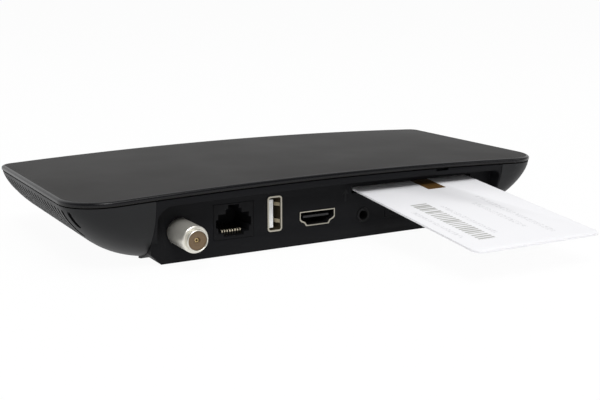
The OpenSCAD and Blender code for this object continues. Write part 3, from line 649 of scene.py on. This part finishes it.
# Card reader. A black moulded tray under a tinned lid with two rows of gold springs, on a small
# board that two natural nylon rails carry above the sockets; a pin header joins it to the main board.
reader_tray = refine("reader_base", "reader_tray", 0.12)
paint(reader_tray, surface("tray_black", (0.014, 0.014, 0.015), 0.5, gloss=0.3, grain=2200, relief=0.15))
fit(reader_tray, "reader_base")
tinned_lid = surface("tinned_lid", (0.6, 0.6, 0.57), 0.36, metal=1, grain=800, tone=0.12, drift=0.1)
paint(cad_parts["reader_cover"], tinned_lid)
paint(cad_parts["reader_contacts"], surface("reader_gold", (0.78, 0.6, 0.3), 0.3, metal=1, grain=1700))
natural_nylon = surface("natural_nylon", (0.62, 0.59, 0.5), 0.55, grain=1900, tone=0.06)
paint(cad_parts["reader_stand"], natural_nylon)
paint(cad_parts["board_header"], surface("header_black", (0.015, 0.015, 0.016), 0.45, gloss=0.35))

# Rear panel. A separate moulding in the same plastic as the shell, painted darker than the shell as painted
# shade: the connector face stands back under an overhanging lip, its moulded edges broken by a small
# radius.
panel = refine("rear_panel", "connector_panel", 0.25, 3)
# Its colour is less than half the shell's: painted shade under the lip.
grained_panel_painted_shade = surface("grained_panel_painted_shade", (0.0075, 0.0077, 0.0088), 0.5, gloss=0.08, grain=2200, relief=0.16)
paint(panel, grained_panel_painted_shade)
fit(panel, "rear_panel")

# Insertion mark. A plain raised arrow beside the card slot, pointing up, in slightly paler plastic.
arrow_x, arrow_y, arrow_high = -7.2, 39.55, 0.12
arrow_line = [(-0.35, 14.6), (0.35, 14.6), (0.35, 17.5), (1.35, 17.3), (0, 19.4), (-1.35, 17.3),
              (-0.35, 17.5)]
bpy.ops.mesh.primitive_circle_add(vertices=len(arrow_line), radius=mm, fill_type="NGON")
arrow = bpy.context.object
arrow.name = "insert_arrow"
for v, (x, z) in zip(arrow.data.vertices, arrow_line):
    v.co = ((x + arrow_x) * mm, arrow_y * mm, z * mm)
edit(arrow)
bpy.ops.mesh.extrude_region_move(TRANSFORM_OT_translate={"value": (0, arrow_high * mm, 0)})
leave()
modify(arrow, "BEVEL", width=0.03 * mm, segments=1, limit_method="ANGLE", angle_limit=math.radians(60))
settle(arrow)
paint(arrow, surface("mark_grey", (0.013, 0.0133, 0.0142), 0.5, gloss=0.1, grain=2200))
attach(arrow, "receiver")

# Front window. A polished block of dark red plastic that passes infrared, set into the hull.
window = refine("front_window", "infrared_window", 0.15)
paint(window, surface("infrared_red", (0.022, 0.005, 0.007), 0.1, gloss=0.5, grain=800, relief=0.02))
fit(window, "front_window")

# Top cover. One crowned plate moulded in dark satin plastic, with a polished round-over that runs
# into a thin rim, both painted near-black as painted shade; a skirt under it locates the cover in the
# shell. Its inner screw bosses, which nothing shows, are in the CAD solid only.
cover_top, cover_rim = 27.2 * mm, 1.8 * mm
round_in, round_up, chamfer = 1.4 * mm, 0.8 * mm, 0.3 * mm
skirt_in, skirt_thick, skirt_deep = 3.7 * mm, 1.2 * mm, 2.6 * mm
strips, strip = 19, 4.5
bpy.ops.mesh.primitive_plane_add(size=1, location=(0, 0, cover_top - cover_rim + chamfer))
cover = bpy.context.object
cover.name = "crowned_cover"
cover.scale = (2 * rim_half, 2 * rim_deep, 1)
alone(cover)
bpy.ops.object.transform_apply(location=False, rotation=False, scale=True)
edit(cover)
for side, radius in ((1, corner_back), (-1, corner_front)):
    pick(cover, "VERT", lambda v: v.co.y * side > 0 and abs(v.co.y) > rim_deep - 0.1 * mm)
    bpy.ops.mesh.bevel(offset=radius, segments=20, affect="VERTICES")
for step in range(-strips, strips + 1):
    bpy.ops.mesh.select_mode(type="FACE")
    bpy.ops.mesh.select_all(action="SELECT")
    bpy.ops.mesh.bisect(plane_co=(step * strip * mm, 0, 0), plane_no=(1, 0, 0))
bpy.ops.mesh.select_all(action="SELECT")
bpy.ops.mesh.extrude_region_move(
    TRANSFORM_OT_translate={"value": (0, 0, cover_rim - chamfer - round_up)})
turns = 7
for k in range(turns):
    a, b = math.pi / 2 * k / turns, math.pi / 2 * (k + 1) / turns
    bpy.ops.mesh.inset(thickness=round_in * (math.cos(a) - math.cos(b)),
                       depth=round_up * (math.sin(b) - math.sin(a)))
pick(cover, "FACE", lambda f: f.normal.z < -0.9)
bpy.ops.mesh.inset(thickness=chamfer, depth=chamfer)
bpy.ops.mesh.inset(thickness=skirt_in - chamfer, depth=0)
bpy.ops.mesh.inset(thickness=skirt_thick, depth=0)


def from_rim(x, y):
    radius = corner_back if y > 0 else corner_front
    over = Vector((max(abs(x) - rim_half + radius, 0), max(abs(y) - rim_deep + radius, 0)))
    if over.x and over.y:
        return radius - over.length
    return min(rim_half - abs(x), rim_deep - abs(y))


open_left, open_right = -82.5 * mm, 76.6 * mm


def on_skirt(f):
    spot = f.calc_center_median()
    open_back = open_left < spot.x < open_right and spot.y > 0
    deep = abs(from_rim(spot.x, spot.y) - skirt_in - skirt_thick / 2)
    return f.normal.z < -0.9 and deep < 0.4 * mm and not open_back


pick(cover, "FACE", on_skirt)
bpy.ops.mesh.extrude_region_move(TRANSFORM_OT_translate={"value": (0, 0, -skirt_deep)})
leave()
for v in cover.data.vertices:
    v.co.z -= fall(v.co.x)
settle(cover, angle=25)
satin_cover = surface("satin_cover", (0.0235, 0.0225, 0.022), 0.48, gloss=0.06, grain=2600, relief=0.12)
polished_edge_painted_shade = surface("polished_edge_painted_shade", (0.004, 0.004, 0.005), 0.2, gloss=0.26, grain=900, relief=0.02)
paint(cover, satin_cover, polished_edge_painted_shade)
# The round-over and the rim's upright faces are painted near-black: painted shade; their polish is the
# lower roughness.
side_face, flat_face, edge_low = 0.05, 0.985, 22.5 * mm
for f in cover.data.polygons:
    if side_face < f.normal.z < flat_face or (abs(f.normal.z) <= side_face and f.center.z > edge_low):
        f.material_index = 1
fit(cover, "top_cover")

# Case screws. Four plated pan-head screws with a cross recess, driven from below through the shell's
# bosses to hold the cover.
arm, arm_half, cross_low, cross_high = 1.6, 0.4, 0.5, 1.9
screws = []
for x, y in screw_places:
    head = lathe("case_screw", [
        (1, 0), (1, 2.4), (1.1, 2.6), (1.35, 2.7), (2.8, 2.7), (2.8, 1.2), (17.6, 1.2), (18.8, 0.4),
        (18.8, 0)], sides=32, upright=True)
    head.location = (x * mm, y * mm, 0)
    alone(head)
    bpy.ops.object.transform_apply(location=True, rotation=True, scale=True)
    for wide, deep in ((arm, arm_half), (arm_half, arm)):
        cut(head, block("cross_arm", (x - wide, y - deep, cross_low), (x + wide, y + deep, cross_high)))
    screws.append(head)
case_screws = joined(screws, "case_screw_set")
settle(case_screws)
paint(case_screws, surface("plated_steel", (0.5, 0.5, 0.49), 0.32, metal=1, grain=1500, tone=0.1))
fit(case_screws, "case_screws")


# Smart card. A laminated white plastic card with a rounded edge, printed with a grey bar code and
# faint rows of marks; it slides in the reader and slopes down towards its outer end.
card_place, card_slope = (-37.9 * mm, 39.6 * mm, 18.1 * mm), 5.9


def in_card(nodes, links):
    """Sockets for the distance across the card and the distance out from the slot, in millimetres."""
    place = nodes.new("ShaderNodeTexCoord")
    turn = nodes.new("ShaderNodeMapping")
    turn.vector_type = "TEXTURE"
    turn.inputs["Location"].default_value = card_place
    turn.inputs["Rotation"].default_value = (math.radians(-card_slope), 0, 0)
    turn.inputs["Scale"].default_value = (mm, mm, mm)
    links.new(place.outputs["Object"], turn.inputs["Vector"])
    axes = nodes.new("ShaderNodeSeparateXYZ")
    links.new(turn.outputs["Vector"], axes.inputs[0])
    return axes.outputs["X"], axes.outputs["Y"]


def calc(nodes, links, operation, *values):
    step = nodes.new("ShaderNodeMath")
    step.operation = operation
    for n, value in enumerate(values):
        if isinstance(value, (int, float)):
            step.inputs[n].default_value = value
        else:
            links.new(value, step.inputs[n])
    return step.outputs[0]


def between(nodes, links, value, low, high):
    over = calc(nodes, links, "GREATER_THAN", value, low)
    under = calc(nodes, links, "LESS_THAN", value, high)
    return calc(nodes, links, "MULTIPLY", over, under)


def ink(nodes, links, paper_colour, amount, colour):
    wet = nodes.new("ShaderNodeMix")
    wet.data_type = "RGBA"
    wet.inputs[7].default_value = (*colour, 1)
    links.new(amount, wet.inputs[0])
    links.new(paper_colour, wet.inputs[6])
    return wet.outputs[2]


bar_pitch, dots_per_mm = 1.75, 2.2
# Middle across the card, start and end along it, height of the marks, strength of the ink
print_rows = ((22.4, 31.5, 60.4, 2, 0.36), (8.1, 28.5, 60.4, 2, 0.36), (-12.1, 23.7, 66.4, 2.6, 0.3),
              (-5.9, 30.4, 59, 2.6, 0.3))
card = refine("smart_card", "printed_card", 0.1)
card_white = surface("card_white", (0.83, 0.83, 0.85), 0.3, gloss=0.4, grain=1400, tone=0.01, relief=0.03)
cn, cl = card_white.node_tree.nodes, card_white.node_tree.links
across, out = in_card(cn, cl)
print_now = cn["hue"].outputs[2]
bar_cell = calc(cn, cl, "FLOOR", calc(cn, cl, "DIVIDE", out, bar_pitch))
bar_noise = cn.new("ShaderNodeTexWhiteNoise")
bar_noise.noise_dimensions = "1D"
cl.new(bar_cell, bar_noise.inputs["W"])
bar_width = calc(cn, cl, "MULTIPLY_ADD", bar_noise.outputs["Value"], 0.5, 0.34)
bars = calc(cn, cl, "LESS_THAN", calc(cn, cl, "FRACT", calc(cn, cl, "DIVIDE", out, bar_pitch)), bar_width)
bars = calc(cn, cl, "MULTIPLY", bars, between(cn, cl, across, 11.6, 18.5))
bars = calc(cn, cl, "MULTIPLY", bars, between(cn, cl, out, 24.6, 64.8))
print_now = ink(cn, cl, print_now, calc(cn, cl, "MULTIPLY", bars, 0.9), (0.33, 0.33, 0.31))
for middle, start, stop, size, strength in print_rows:
    dot_grid = cn.new("ShaderNodeCombineXYZ")
    cl.new(calc(cn, cl, "FLOOR", calc(cn, cl, "MULTIPLY", across, dots_per_mm)), dot_grid.inputs["X"])
    cl.new(calc(cn, cl, "FLOOR", calc(cn, cl, "MULTIPLY", out, dots_per_mm)), dot_grid.inputs["Y"])
    dot_noise = cn.new("ShaderNodeTexWhiteNoise")
    dot_noise.noise_dimensions = "2D"
    cl.new(dot_grid.outputs[0], dot_noise.inputs["Vector"])
    marks = calc(cn, cl, "GREATER_THAN", dot_noise.outputs["Value"], 0.45)
    gap = calc(cn, cl, "GREATER_THAN", calc(cn, cl, "FRACT", calc(cn, cl, "DIVIDE", out, size * 0.8)), 0.25)
    marks = calc(cn, cl, "MULTIPLY", marks, gap)
    marks = calc(cn, cl, "MULTIPLY", marks, between(cn, cl, across, middle - size / 2, middle + size / 2))
    marks = calc(cn, cl, "MULTIPLY", marks, between(cn, cl, out, start, stop))
    print_now = ink(cn, cl, print_now, calc(cn, cl, "MULTIPLY", marks, strength), (0.3, 0.3, 0.32))
cl.new(print_now, cn["Principled BSDF"].inputs["Base Color"])
paint(card, card_white)
fit(card, "smart_card", "card")

# Contact plate of the card. Gold-plated copper set flush in the upper face, parted into six pads by
# fine dark lines; brown where it has worn.
chip = refine("card_chip", "contact_plate", 0.05)
worn_gold = surface("worn_gold", (0.2, 0.105, 0.03), 0.38, metal=0.55, gloss=0.4, grain=900, tone=0.2,
                    drift=0.12)
gn, gl = worn_gold.node_tree.nodes, worn_gold.node_tree.links
across, out = in_card(gn, gl)
line_width = 0.22
pad_lines = between(gn, gl, out, 3.2, 3.45)
for spot in (-5.8, -3.1):
    pad_lines = calc(gn, gl, "MAXIMUM", pad_lines, between(gn, gl, across, spot, spot + line_width))
parted = ink(gn, gl, gn["hue"].outputs[2], calc(gn, gl, "MULTIPLY", pad_lines, 0.8), (0.02, 0.012, 0.006))
gl.new(parted, gn["Principled BSDF"].inputs["Base Color"])
paint(chip, worn_gold)
fit(chip, "card_chip", "card")
